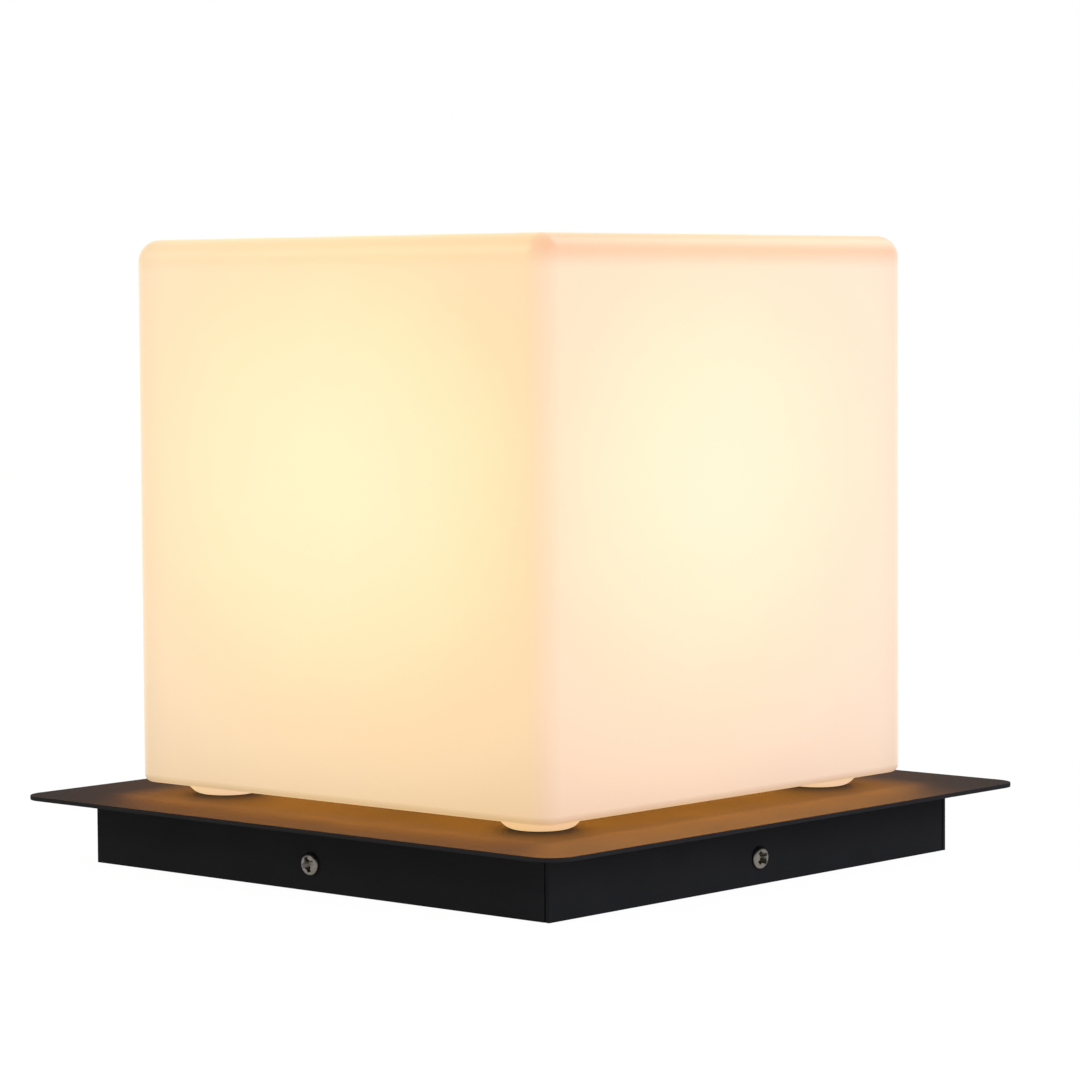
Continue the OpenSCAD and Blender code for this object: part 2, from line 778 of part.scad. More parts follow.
module lamp_insulator() {
    color("#202022")
        translate([0, 0, contact_z + tip_t]) cylinder(r1 = tip_r, r2 = cap_low_r, h = insulator_h);
}

module lamp_cap() {
    low = contact_z + tip_t + insulator_h;
    taper_h = 2;
    color("#c8c9cb")
        translate([0, 0, low])
            difference() {
                union() {
                    cylinder(r1 = cap_low_r, r2 = cap_r, h = taper_h);
                    translate([0, 0, taper_h]) cylinder(r = cap_r, h = housing_z - low - taper_h - 0.2);
                }
                translate([0, 0, 1]) cylinder(r1 = cap_low_r - 1, r2 = cap_r - cap_wall, h = taper_h);
                translate([0, 0, 1 + taper_h - eps]) cylinder(r = cap_r - cap_wall, h = cap_depth);
            }
}

// Radius of the housing at a share t of its height, from the cap to the diffuser
function housing_r(t) =
    let (low_r = cap_r + 1.2, high_r = sqrt(pow(lamp_r, 2) - pow(diffuser_drop, 2)))
    low_r + (high_r - low_r) * t * t * (3 - 2 * t) * (0.75 + 0.25 * t);

// Tapered housing, open at both ends
module lamp_housing() {
    steps = 10;
    outer = [for (i = [0:steps]) [housing_r(i / steps), housing_z + housing_h * i / steps]];
    inner = [for (i = [steps:-1:0]) [housing_r(i / steps) - lamp_wall, housing_z + housing_h * i / steps]];
    color("#f1f0ec") rotate_extrude() polygon(concat(outer, inner));
}

module driver_board() {
    color("#3d6b45")
        translate([-driver_t / 2, -driver_w / 2, contact_z + driver_lift])
            cube([driver_t, driver_w, diffuser_z - board_drop - contact_z - driver_lift]);
}

module led_board() {
    rim_r = housing_r(1 - board_drop / housing_h) - lamp_wall;
    color("#eef0ee") translate([0, 0, diffuser_z - board_drop]) cylinder(r = rim_r - seat_gap, h = board_t);
}

module lamp_diffuser() {
    color("#fff4dc")
        rotate_extrude()
            translate([0, lamp_mid_z])
                intersection() {
                    difference() {
                        circle(lamp_r, $fn = 96);
                        circle(lamp_r - lamp_wall, $fn = 96);
                    }
                    translate([0, -diffuser_drop]) square([lamp_r + 1, lamp_r + diffuser_drop + 1]);
                }
}

// Screw through the middle of one side of the skirt: pan head, shank and point
module side_screw(turn) {
    color(steel)
        rotate([0, 0, turn]) translate([skirt_w / 2 + fit_gap, 0, side_screw_z]) rotate([0, 90, 0]) {
            pan_head(head_r, head_h);
            translate([0, 0, side_screw_tip - side_screw_len])
                cylinder(r = screw_r, h = side_screw_len - side_screw_tip);
            translate([0, 0, -side_screw_len]) cylinder(r1 = 0.3, r2 = screw_r, h = side_screw_tip);
        }
}

module side_screw_front() {
    side_screw(-90);
}

module side_screw_right() {
    side_screw(0);
}

module side_screw_back() {
    side_screw(90);
}

module side_screw_left() {
    side_screw(180);
}

top_plate();
skirt_tray();
post_seal();
shade_seal();
shade_screws();
shade_washers();
lampholder_base();
lampholder_shell();
contact_block();
socket_thread_shell();
centre_contact();
nipple();
nipple_nut();
nipple_washer();
wiring_cover();
cover_screws();
cable_grommet();
cable_saddle();
saddle_screws();
terminal_block();
terminal_tubes();
terminal_screws();
block_screw();
earth_screw();
earth_washer();
earth_tag();
live_lead();
neutral_lead();
earth_lead();
shade();
foot_inserts();
lamp_contact();
lamp_insulator();
lamp_cap();
lamp_housing();
driver_board();
led_board();
lamp_diffuser();
side_screw_front();
side_screw_right();
side_screw_back();
side_screw_left();
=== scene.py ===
"""Looks of a square light for a post's head: an opal cube shade on a black plate and skirt.

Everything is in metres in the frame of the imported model: Z up, the skirt's lower edge at z = 0.
"""

import math

import bmesh
import bpy
from mathutils import Matrix, Vector


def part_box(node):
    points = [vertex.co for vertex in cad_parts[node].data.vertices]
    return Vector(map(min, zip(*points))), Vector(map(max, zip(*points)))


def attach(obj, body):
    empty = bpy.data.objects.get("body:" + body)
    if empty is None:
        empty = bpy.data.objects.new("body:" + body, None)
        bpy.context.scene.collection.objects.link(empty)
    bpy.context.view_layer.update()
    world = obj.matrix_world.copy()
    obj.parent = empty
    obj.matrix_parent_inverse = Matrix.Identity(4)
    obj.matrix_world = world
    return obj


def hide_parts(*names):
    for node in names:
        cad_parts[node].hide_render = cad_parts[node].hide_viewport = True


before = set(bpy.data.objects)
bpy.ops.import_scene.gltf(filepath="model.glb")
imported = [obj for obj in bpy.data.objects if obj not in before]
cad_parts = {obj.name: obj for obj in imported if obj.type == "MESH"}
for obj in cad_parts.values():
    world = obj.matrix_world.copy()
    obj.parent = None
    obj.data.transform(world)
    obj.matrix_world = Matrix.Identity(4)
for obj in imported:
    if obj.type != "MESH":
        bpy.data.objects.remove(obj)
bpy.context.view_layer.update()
MM = 0.001
TAU = 2 * math.pi
FOOT_H = 4.5  # height of the shade's feet, mm
NOISE_LOW, NOISE_HIGH = 0.3, 0.7  # between these lies nearly all of what a noise texture gives


# ---------------------------------------------------------------- shared tools


def linear(hex_colour):
    """An sRGB hex colour as the linear RGBA that shaders take."""
    channels = [int(hex_colour[i : i + 2], 16) / 255 for i in (1, 3, 5)]
    return [c / 12.92 if c <= 0.04045 else ((c + 0.055) / 1.055) ** 2.4 for c in channels] + [1]


def add_node(tree, kind, settings=None, links=None):
    """Adds a shader node. settings are its properties, links its inputs: a value, or the socket to join."""
    made = tree.nodes.new("ShaderNode" + kind)
    for name, value in (settings or {}).items():
        setattr(made, name, value)
    for name, value in (links or {}).items():
        if isinstance(value, bpy.types.NodeSocket):
            tree.links.new(value, made.inputs[name])
        else:
            made.inputs[name].default_value = value
    return made


def start_material(name, colour, roughness, **sockets):
    """A material with its shader's plain sockets set, and the place on the piece for its patterns."""
    material = bpy.data.materials.new(name)
    material.use_nodes = True
    tree = material.node_tree
    shader = tree.nodes["Principled BSDF"]
    shader.inputs["Base Color"].default_value = linear(colour)
    shader.inputs["Roughness"].default_value = roughness
    for socket, value in sockets.items():
        shader.inputs[socket.replace("_", " ")].default_value = value
    place = add_node(tree, "TexCoord").outputs["Object"]
    return material, tree, shader, place


def grain_relief(tree, shader, place, grain_mm, depth_mm, strength=0.5, detail=2):
    """Roughens the surface by a noise with cells about grain_mm across, and returns that noise."""
    grain = add_node(tree, "TexNoise", links={
        "Vector": place, "Scale": 1 / (grain_mm * MM), "Detail": detail})
    relief = add_node(tree, "Bump", links={
        "Height": grain.outputs[0], "Distance": depth_mm * MM, "Strength": strength})
    tree.links.new(relief.outputs[0], shader.inputs["Normal"])
    return grain.outputs[0]


def blotches(tree, place, blotch_mm, detail=3):
    """A share from 0 to 1 that drifts over the surface in blotches about blotch_mm across."""
    cloud = add_node(tree, "TexNoise", links={
        "Vector": place, "Scale": 1 / (blotch_mm * MM), "Detail": detail})
    return add_node(tree, "MapRange", links={
        "Value": cloud.outputs[0], "From Min": NOISE_LOW, "From Max": NOISE_HIGH}).outputs[0]


def finish_surface(name, colour, other, roughness, grain_mm, depth_mm, **sockets):
    """A finish with a fine grain in its relief and gloss, and a slow drift between two colours."""
    material, tree, shader, place = start_material(name, colour, roughness, **sockets)
    drift = blotches(tree, place, 12)
    tone = add_node(tree, "Mix", {"data_type": "RGBA"}, {0: drift, 6: linear(colour), 7: linear(other)})
    tree.links.new(tone.outputs[2], shader.inputs["Base Color"])
    grain = grain_relief(tree, shader, place, grain_mm, depth_mm, strength=1.0, detail=3)
    gloss = add_node(tree, "MapRange", links={
        "Value": grain, "From Min": NOISE_LOW, "From Max": NOISE_HIGH,
        "To Min": roughness - 0.06, "To Max": roughness + 0.06})
    tree.links.new(gloss.outputs[0], shader.inputs["Roughness"])
    return material


def new_object(name, verts, faces):
    """A linked object from points and faces in metres."""
    mesh = bpy.data.meshes.new(name)
    mesh.from_pydata(verts, [], faces)
    obj = bpy.data.objects.new(name, mesh)
    bpy.context.scene.collection.objects.link(obj)
    return obj


def mesh_piece(name, verts, faces, material, body, stands_for=(), sharp_deg=35):
    """A smooth-shaded piece from points and faces in metres, on its body, in place of CAD nodes."""
    obj = new_object(name, verts, faces)
    clean_mesh(obj.data, sharp_deg)
    obj.data.materials.append(material)
    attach(obj, body)
    if stands_for:
        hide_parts(*stands_for)
    return obj


def clean_mesh(mesh, sharp_deg=35):
    """Joins double points, turns the faces outwards and marks the edges that stay sharp."""
    bm = bmesh.new()
    bm.from_mesh(mesh)
    bmesh.ops.remove_doubles(bm, verts=bm.verts, dist=1e-6)
    bmesh.ops.recalc_face_normals(bm, faces=bm.faces)
    for face in bm.faces:
        face.smooth = True
    for edge in bm.edges:
        edge.smooth = len(edge.link_faces) == 2 and edge.calc_face_angle() < math.radians(sharp_deg)
    bm.to_mesh(mesh)
    bm.free()


def turned(profile, sides=96):
    """Points and faces of a profile of (radius, height) in mm that is turned about Z."""
    verts = [
        (r * MM * math.cos(TAU * k / sides), r * MM * math.sin(TAU * k / sides), z * MM)
        for r, z in profile
        for k in range(sides)
    ]
    faces = [
        (i * sides + k, i * sides + (k + 1) % sides, (i + 1) * sides + (k + 1) % sides, (i + 1) * sides + k)
        for i in range(len(profile) - 1)
        for k in range(sides)
    ]
    return verts, faces


def arc(centre, radius, start_deg, end_deg, steps=8):
    """Points of an arc in a profile, in mm."""
    turn = [math.radians(start_deg + (end_deg - start_deg) * i / steps) for i in range(steps + 1)]
    return [(centre[0] + radius * math.cos(t), centre[1] + radius * math.sin(t)) for t in turn]


def soften(obj, edge_mm):
    """Rounds a piece's sharp edges by a real radius and keeps its flats flat."""
    weld = obj.modifiers.new("join_faces", "WELD")
    weld.merge_threshold = 0.005 * MM
    bevel = obj.modifiers.new("edge_round", "BEVEL")
    bevel.width = edge_mm * MM
    bevel.segments = 3
    bevel.limit_method = "ANGLE"
    bevel.angle_limit = math.radians(35)
    bevel.use_clamp_overlap = True
    flats = obj.modifiers.new("flat_faces", "WEIGHTED_NORMAL")
    flats.keep_sharp = False


def dress(node, material, edge_mm=0):
    """Gives a CAD node its finish, and rounds its edges."""
    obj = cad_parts[node]
    obj.data.materials.clear()
    obj.data.materials.append(material)
    if edge_mm:
        soften(obj, edge_mm)
    return obj


# ---------------------------------------------------------------- materials


def powder_coat():
    """Black polyester powder coat on steel sheet, satin with a fine peel: a soft sheen, no sharp glints."""
    material, tree, shader, place = start_material(
        "black_powder_coat", "#2b2b2e", 0.8, Specular_IOR_Level=0.04)
    drift = blotches(tree, place, 25)
    tone = add_node(tree, "Mix", {"data_type": "RGBA"}, {
        0: drift, 6: linear("#29292c"), 7: linear("#2e2e31")})
    tree.links.new(tone.outputs[2], shader.inputs["Base Color"])
    gloss = add_node(tree, "MapRange", links={"Value": drift, "To Min": 0.77, "To Max": 0.83})
    tree.links.new(gloss.outputs[0], shader.inputs["Roughness"])
    # the real peel is about 0.3 mm across; it is drawn at 0.6 mm so that it shows
    grain_relief(tree, shader, place, 0.6, 0.03, strength=0.6)
    return material


def glow_by_distance(tree, place):
    """Colour of the lit wall by its distance from the lamp's glow, which is palest near it."""
    glow_at = Vector((5, -15, 142)) * MM  # a little towards the front corner
    stretch = (1, 1, 1.18)  # heights count for more
    away = add_node(tree, "VectorMath", {"operation": "SUBTRACT"}, {0: place, 1: glow_at}).outputs[0]
    away = add_node(tree, "VectorMath", {"operation": "MULTIPLY"}, {0: away, 1: stretch}).outputs[0]
    far = add_node(tree, "VectorMath", {"operation": "LENGTH"}, {0: away}).outputs["Value"]
    cloud = add_node(tree, "MapRange", links={
        "Value": blotches(tree, place, 30, detail=2), "To Min": -2 * MM, "To Max": 2 * MM}).outputs[0]
    far = add_node(tree, "Math", {"operation": "ADD"}, {0: far, 1: cloud}).outputs[0]
    # distance in mm, and the linear colour there
    stops = [(85, (0.80, 0.580, 0.320)), (95, (0.78, 0.550, 0.290)), (105, (0.76, 0.525, 0.260)),
             (115, (0.73, 0.492, 0.240)), (125, (0.71, 0.455, 0.220)), (135, (0.69, 0.435, 0.215)),
             (150, (0.66, 0.425, 0.220)), (165, (0.63, 0.400, 0.210))]
    nearest, farthest = stops[0][0], stops[-1][0]
    share = add_node(tree, "MapRange", links={
        "Value": far, "From Min": nearest * MM, "From Max": farthest * MM}).outputs[0]
    ramp = add_node(tree, "ValToRGB", links={0: share})
    bar = ramp.color_ramp.elements
    while len(bar) < len(stops):
        bar.new(0.5)
    for element, (distance, rgb) in zip(bar, stops):
        element.position = (distance - nearest) / (farthest - nearest)
        element.color = (*rgb, 1)
    return ramp.outputs[0]


def painted_cool_light(tree, right, back):
    """Painted cool light added to the glow: on the right side, along both seen sides away from the front
    corner, and a little blue taken off everywhere.
    """
    on_right = add_node(tree, "VectorMath", {"operation": "MULTIPLY"}, {
        0: right, 1: (0, -0.02, 0.05)}).outputs[0]
    to_back = add_node(tree, "VectorMath", {"operation": "MULTIPLY"}, {
        0: back, 1: (0, 0.035, 0.06)}).outputs[0]
    both = add_node(tree, "VectorMath", {"operation": "ADD"}, {0: on_right, 1: to_back}).outputs[0]
    return add_node(tree, "VectorMath", {"operation": "SUBTRACT"}, {0: both, 1: (0, 0, 0.03)}).outputs[0]


def far_edge_painted_shade(tree, x, y, back):
    """1 over the flat sides, and less in the upright edges away from the front corner: painted shade in the
    glow there.
    """
    edge = back
    for across in (x, y):
        reach = add_node(tree, "Math", {"operation": "ABSOLUTE"}, {0: across}).outputs[0]
        near_edge = add_node(tree, "MapRange", {"interpolation_type": "SMOOTHSTEP"}, {
            "Value": reach, "From Min": 80 * MM, "From Max": 99.5 * MM}).outputs[0]
        edge = add_node(tree, "Math", {"operation": "MULTIPLY"}, {0: edge, 1: near_edge}).outputs[0]
    return add_node(tree, "MapRange", links={"Value": edge, "To Min": 1.0, "To Max": 0.87}).outputs[0]


def painted_top_tint(tree, z, right):
    """A painted tint on the glow: none below, and towards the top a yellower light, which is orange on the
    right side.
    """
    top = add_node(tree, "MapRange", {"interpolation_type": "SMOOTHSTEP"}, {
        "Value": z, "From Min": 213 * MM, "From Max": 224 * MM}).outputs[0]
    rim = add_node(tree, "Mix", {"data_type": "RGBA"}, {
        0: right, 6: (0.94, 0.87, 0.64, 1), 7: (0.9, 0.42, 0.0, 1)}).outputs[2]
    return add_node(tree, "Mix", {"data_type": "RGBA"}, {0: top, 6: (1, 1, 1, 1), 7: rim}).outputs[2]


def lit_opal():
    """Opal polyethylene, moulded, lit from inside: palest at the lamp's height, more orange away from it."""
    material, tree, shader, place = start_material(
        "opal_polyethylene_lit", "#b9b2a6", 0.38, Specular_IOR_Level=0.5)
    x, y, z = add_node(tree, "SeparateXYZ", links={0: place}).outputs
    normal = add_node(tree, "NewGeometry").outputs["Normal"]
    facing = add_node(tree, "SeparateXYZ", links={0: normal}).outputs[0]
    # 1 on the right side, and a share that grows from the front corner to the far ones: masks for the painted
    # cool light and painted shade below
    right = add_node(tree, "Math", {"operation": "MAXIMUM"}, {0: facing, 1: 0.0}).outputs[0]
    back = add_node(tree, "Math", {"operation": "SUBTRACT"}, {0: y, 1: x}).outputs[0]
    back = add_node(tree, "MapRange", links={"Value": back, "From Min": -200 * MM, "From Max": 0}).outputs[0]
    # painted cool light: the glow gains green and blue on the right side and away from the front corner
    glow = add_node(tree, "VectorMath", {"operation": "ADD"}, {
        0: glow_by_distance(tree, place), 1: painted_cool_light(tree, right, back)}).outputs[0]
    # painted shade: the glow is dimmed in the upright edges away from the front corner
    dim = far_edge_painted_shade(tree, x, y, back)
    glow = add_node(tree, "VectorMath", {"operation": "SCALE"}, {0: glow, "Scale": dim}).outputs[0]
    # painted light colour: the glow turns yellower towards the top, and orange at the top of the right side
    tint = painted_top_tint(tree, z, right)
    glow = add_node(tree, "VectorMath", {"operation": "MULTIPLY"}, {0: glow, 1: tint}).outputs[0]
    # the feet are solid and sit on the lit floor of the shade, so they glow a little more
    foot = add_node(tree, "MapRange", links={
        "Value": z, "From Min": 30.5 * MM, "From Max": 29 * MM, "To Min": 1.0, "To Max": 1.3}).outputs[0]
    glow = add_node(tree, "VectorMath", {"operation": "SCALE"}, {0: glow, "Scale": foot}).outputs[0]
    tree.links.new(glow, shader.inputs["Emission Color"])
    shader.inputs["Emission Strength"].default_value = 1.0
    # spark-eroded mould skin, 0.4 mm cells drawn at 0.8 mm so that they show
    grain_relief(tree, shader, place, 0.8, 0.02)
    return material


def lit_diffuser():
    """Opal polycarbonate over the lamp's light source: bright and even, a little dimmer by its rim."""
    material, tree, shader, place = start_material("opal_polycarbonate_lit", "#d9d4c8", 0.3)
    height = add_node(tree, "SeparateXYZ", links={0: place}).outputs[2]
    rise = add_node(tree, "MapRange", links={
        "Value": height, "From Min": 124 * MM, "From Max": 150 * MM}).outputs[0]
    glow = add_node(tree, "Mix", {"data_type": "RGBA"}, {
        0: rise, 6: (1.5, 0.95, 0.5, 1), 7: (2.2, 1.5, 0.85, 1)})
    tree.links.new(glow.outputs[2], shader.inputs["Emission Color"])
    shader.inputs["Emission Strength"].default_value = 1.0
    grain_relief(tree, shader, place, 0.7, 0.01)
    return material


def earth_lead_finish():
    """Silicone insulation in two colours: green with a yellow band along the lead."""
    green, yellow = "#2f7a36", "#d9c22b"
    material, tree, shader, place = start_material("silicone_green_yellow", green, 0.45)
    height = add_node(tree, "SeparateXYZ", links={0: place}).outputs[2]
    band = add_node(tree, "MapRange", links={
        "Value": height, "From Min": 13.4 * MM, "From Max": 13.8 * MM}).outputs[0]
    tone = add_node(tree, "Mix", {"data_type": "RGBA"}, {0: band, 6: linear(green), 7: linear(yellow)})
    tree.links.new(tone.outputs[2], shader.inputs["Base Color"])
    grain_relief(tree, shader, place, 0.5, 0.01)
    return material


black_coat = powder_coat()
opal = lit_opal()
opal_lamp = lit_diffuser()
# cold-headed stainless steel, tumbled: soft grey shine with fine wear
stainless = finish_surface("stainless_steel", "#b4b2ae", "#9b9996", 0.3, 0.4, 0.01, Metallic=1.0)
# the side screws' stainless steel, painted darker and browner than bare steel: a painted reflection of dark,
# warm surroundings
screw_steel_painted_dark = finish_surface("stainless_steel_painted_dark", "#837e76", "#716c65", 0.34, 0.4, 0.01, Metallic=1.0)
# bright zinc plate with a faint blue-grey drift
zinc = finish_surface("zinc_plated_steel", "#b9bcc2", "#a8abb4", 0.32, 0.5, 0.01, Metallic=1.0)
# drawn and turned brass, dulled a little by air
brass = finish_surface("drawn_brass", "#c79a4a", "#b28541", 0.28, 0.5, 0.01, Metallic=1.0)
# nickel plate on the lamp's rolled cap
nickel = finish_surface("nickel_plate", "#c2bdb4", "#aca79e", 0.22, 0.6, 0.008, Metallic=1.0)
# soft tin plate on the crimped ring tag
tin = finish_surface("tinned_copper", "#bdb8ae", "#a7a39b", 0.36, 0.5, 0.01, Metallic=1.0)
# a dome of solder, slightly frosted
solder = finish_surface("solder", "#aaa9a6", "#979692", 0.4, 0.8, 0.02, Metallic=1.0)
# closed-cell rubber foam: matt, with open pores on its cut faces
foam = finish_surface("rubber_foam", "#18181a", "#202022", 0.85, 0.9, 0.12)
# moulded silicone rubber: matt black with a slight bloom
rubber = finish_surface("silicone_rubber", "#1a1a1c", "#242427", 0.62, 0.8, 0.02)
# white thermoset of the lampholder: hard and half glossy, with faint flow marks
thermoset = finish_surface("white_thermoset", "#e6e2d8", "#ddd8cc", 0.3, 1.0, 0.012)
# glazed steatite block
steatite = finish_surface("glazed_steatite", "#e9e4d6", "#ded8c8", 0.2, 1.2, 0.015)
# glass-filled polyamide of the wiring cover: dark grey, spark-eroded skin
dark_polyamide = finish_surface("dark_polyamide", "#232427", "#2b2c30", 0.55, 0.7, 0.03)
# natural polyamide, milky and slightly waxy
pale_polyamide = finish_surface("natural_polyamide", "#d8d4c6", "#cfcab9", 0.42, 0.9, 0.015)
# silicone insulation of the leads
brown_lead = finish_surface("silicone_brown", "#5e3a22", "#6a4329", 0.45, 0.5, 0.01)
blue_lead = finish_surface("silicone_blue", "#2d5a9c", "#2a5290", 0.45, 0.5, 0.01)
earth_lead = earth_lead_finish()
# black glass round the lamp's contact
glass = finish_surface("vitrified_glass", "#0e0e12", "#16161b", 0.12, 1.0, 0.01)
# white polycarbonate of the lamp's housing
lamp_white = finish_surface("white_polycarbonate", "#e4e2dc", "#dcdad2", 0.35, 0.8, 0.012)
# glass-fibre board with its green lacquer
board_green = finish_surface("glass_fibre_board", "#2c6b40", "#275f39", 0.4, 0.7, 0.02)
# white lacquer on the aluminium board of the light source
board_white = finish_surface("white_lacquered_board", "#e8e8e4", "#dedfda", 0.4, 0.7, 0.01)


# ---------------------------------------------------------------- CAD pieces that stay


dress("top_plate", black_coat, 0.3)
dress("skirt_tray", black_coat, 0.25)
dress("post_seal", foam, 0.8)
dress("shade_seal", rubber, 0.6)
dress("shade_screws", stainless, 0.15)
dress("shade_washers", stainless, 0.12)
dress("lampholder_base", thermoset, 0.35)
dress("lampholder_shell", thermoset, 0.5)
dress("contact_block", steatite, 0.4)
dress("socket_thread_shell", brass)
dress("centre_contact", brass, 0.1)
dress("nipple", brass, 0.2)
dress("nipple_nut", brass, 0.25)
dress("nipple_washer", zinc, 0.12)
dress("wiring_cover", dark_polyamide, 0.5)
dress("cover_screws", zinc, 0.12)
dress("cable_grommet", rubber, 0.4)
dress("cable_saddle", pale_polyamide, 0.3)
dress("saddle_screws", zinc, 0.12)
dress("terminal_block", pale_polyamide, 0.3)
dress("terminal_tubes", brass, 0.1)
dress("terminal_screws", zinc)
dress("block_screw", zinc, 0.12)
dress("earth_screw", zinc, 0.12)
dress("earth_washer", zinc, 0.1)
dress("earth_tag", tin, 0.1)
dress("live_lead", brown_lead)
dress("neutral_lead", blue_lead)
dress("earth_lead", earth_lead)
dress("foot_inserts", brass, 0.2)
dress("lamp_contact", solder, 0.2)
dress("lamp_insulator", glass, 0.2)
dress("driver_board", board_green, 0.1)
dress("led_board", board_white, 0.1)


# ---------------------------------------------------------------- shade


def box_shape(half_w, low, high, round_r, low_r, steps=10):
    """A solid square box in mm: its upper and upright edges rounded by round_r, its lower ones by low_r."""
    levels = [(low + low_r - y, low_r - x) for x, y in arc((0, 0), low_r, 90, 0, steps)]
    levels += [(high - round_r + y, round_r - x) for x, y in arc((0, 0), round_r, 0, 90, steps)]
    verts = []
    for z, drawn_in in levels:
        corner = round_r - drawn_in
        for turn in range(4):
            for x, y in arc((half_w - round_r, half_w - round_r), corner, 0, 90, steps):
                for _ in range(turn):
                    x, y = -y, x
                verts.append((x * MM, y * MM, z * MM))
    ring = 4 * (steps + 1)
    faces = [
        (i * ring + k, i * ring + (k + 1) % ring, (i + 1) * ring + (k + 1) % ring, (i + 1) * ring + k)
        for i in range(len(levels) - 1)
        for k in range(ring)
    ]
    faces.append(tuple(range(ring)))
    faces.append(tuple(range((len(levels) - 1) * ring, len(levels) * ring, steps + 1)))
    obj = new_object("form", verts, faces)
    clean_mesh(obj.data)
    return obj


def turned_shape(profile, at=(0, 0), sides=96):
    """A solid turned from a profile that starts and ends on the axis, as an object without a material."""
    verts, faces = turned(profile, sides)
    obj = new_object("form", [(x + at[0], y + at[1], z) for x, y, z in verts], faces)
    clean_mesh(obj.data)
    return obj


def combine(base, tools, operation):
    """Joins the tools to the base, or cuts them from it, for good."""
    for tool in tools:
        step = base.modifiers.new("cut", "BOOLEAN")
        step.operation = operation
        step.object = tool
        step.solver = "EXACT"
        graph = bpy.context.evaluated_depsgraph_get()
        mesh = bpy.data.meshes.new_from_object(base.evaluated_get(graph))
        base.modifiers.clear()
        base.data = mesh
        bpy.data.objects.remove(tool)
    return base


def shade_piece():
    """Moulded cube: shell, floor with its opening and collar, four feet below and four bosses above."""
    low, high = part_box("shade")
    half_w, plate_top, top = high.x / MM, low.z / MM, high.z / MM
    floor = plate_top + FOOT_H
    wall, edge_r, low_r = 3.5, 8, 3
    opening, collar_top, collar_round = 55, floor + 11.5, 1
    boss_r, boss_top, boss_round = 8, floor + 10.5, 0.8
    foot_r, foot_flat, foot_round = 15.5, 8.515, 6
    insert_r, insert_top = 4.05, plate_top + 12
    rooted = floor + 1  # collar, bosses and feet start or end inside the floor
    feet = [(x * 76.5 * MM, y * 76.5 * MM) for x in (-1, 1) for y in (-1, 1)]
    shell = box_shape(half_w, floor, top, edge_r, low_r)
    combine(shell, [box_shape(half_w - wall, floor + wall, top - wall, edge_r - wall, 1)], "DIFFERENCE")
    collar_r = opening + wall
    # the collar's side runs to its full height before the round starts, which leaves a thin lip on its edge
    collar = [(0, rooted), (collar_r, rooted), (collar_r, collar_top),
              *arc((collar_r - collar_round, collar_top - collar_round), collar_round, 0, 90, 4),
              (0, collar_top)]
    boss = [(0, rooted), (boss_r, rooted),
            *arc((boss_r - boss_round, boss_top - boss_round), boss_round, 0, 90, 4), (0, boss_top)]
    foot = [(0, plate_top), (foot_flat, plate_top),
            *arc((foot_flat, plate_top + foot_round), foot_round, -90, -45),
            (foot_r - 0.3, floor - 0.3), (foot_r, floor), (foot_r, rooted), (0, rooted)]
    combine(shell, [turned_shape(collar, sides=128)], "UNION")
    combine(shell, [turned_shape(boss, at) for at in feet], "UNION")
    combine(shell, [turned_shape(foot, at) for at in feet], "UNION")
    mouth = [(0, floor - 2), (opening, floor - 2), (opening, floor + 14), (0, floor + 14)]
    bore = [(0, plate_top - 1), (insert_r, plate_top - 1), (insert_r, insert_top), (0, insert_top)]
    combine(shell, [turned_shape(mouth, sides=128)], "DIFFERENCE")
    combine(shell, [turned_shape(bore, at, sides=48) for at in feet], "DIFFERENCE")
    shell.name = shell.data.name = "shade_cube"
    clean_mesh(shell.data, 30)
    shell.data.materials.append(opal)
    flats = shell.modifiers.new("flat_faces", "WEIGHTED_NORMAL")
    flats.keep_sharp = True
    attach(shell, "shade")
    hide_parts("shade")


shade_piece()


# ---------------------------------------------------------------- lamp


def threaded_wall(radius, depth, pitch, low, high, wall, sides=72, per_turn=12):
    """A thin tube with a rolled round thread, in mm: points and faces of its outer and inner skins."""
    rows = round((high - low) / pitch * per_turn)
    verts, faces = [], []
    for skin in (0, wall):
        for i in range(rows + 1):
            z = low + (high - low) * i / rows
            fade = min(1, (z - low) / pitch, (high - z) / pitch)
            for k in range(sides):
                turn = k / sides
                swing = 0.5 - 0.5 * math.cos(TAU * ((z - low) / pitch - turn))
                r = radius - skin - depth * fade * swing
                verts.append((r * MM * math.cos(TAU * turn), r * MM * math.sin(TAU * turn), z * MM))
    skin_size = (rows + 1) * sides
    for i in range(rows):
        for k in range(sides):
            a, b = i * sides + k, i * sides + (k + 1) % sides
            faces.append((a, b, b + sides, a + sides))
            faces.append((skin_size + a, skin_size + a + sides, skin_size + b + sides, skin_size + b))
    for row in (0, rows * sides):
        for k in range(sides):
            a, b = row + k, row + (k + 1) % sides
            faces.append((a, b, skin_size + b, skin_size + a))
    return verts, faces


def lamp_cap_pieces():
    """The rolled screw cap, and the taper between it and the glass round its contact."""
    low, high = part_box("lamp_cap")
    base, rim = low.z / MM, high.z / MM
    cap_r, taper_h = 13.0, 2.05
    verts, faces = threaded_wall(cap_r, 1.1, 3.6, base + 2, rim, 0.6)
    mesh_piece("lamp_screw_cap", verts, faces, nickel, "lamp", ["lamp_cap"], 60)
    taper = [(10.4, base), (10.6, base), (11.6, base + 0.8), (cap_r, base + taper_h), (12.4, base + taper_h),
             (11.2, base + 1.1), (10.4, base + 0.6), (10.4, base)]
    verts, faces = turned(taper)
    mesh_piece("lamp_cap_taper", verts, faces, nickel, "lamp")


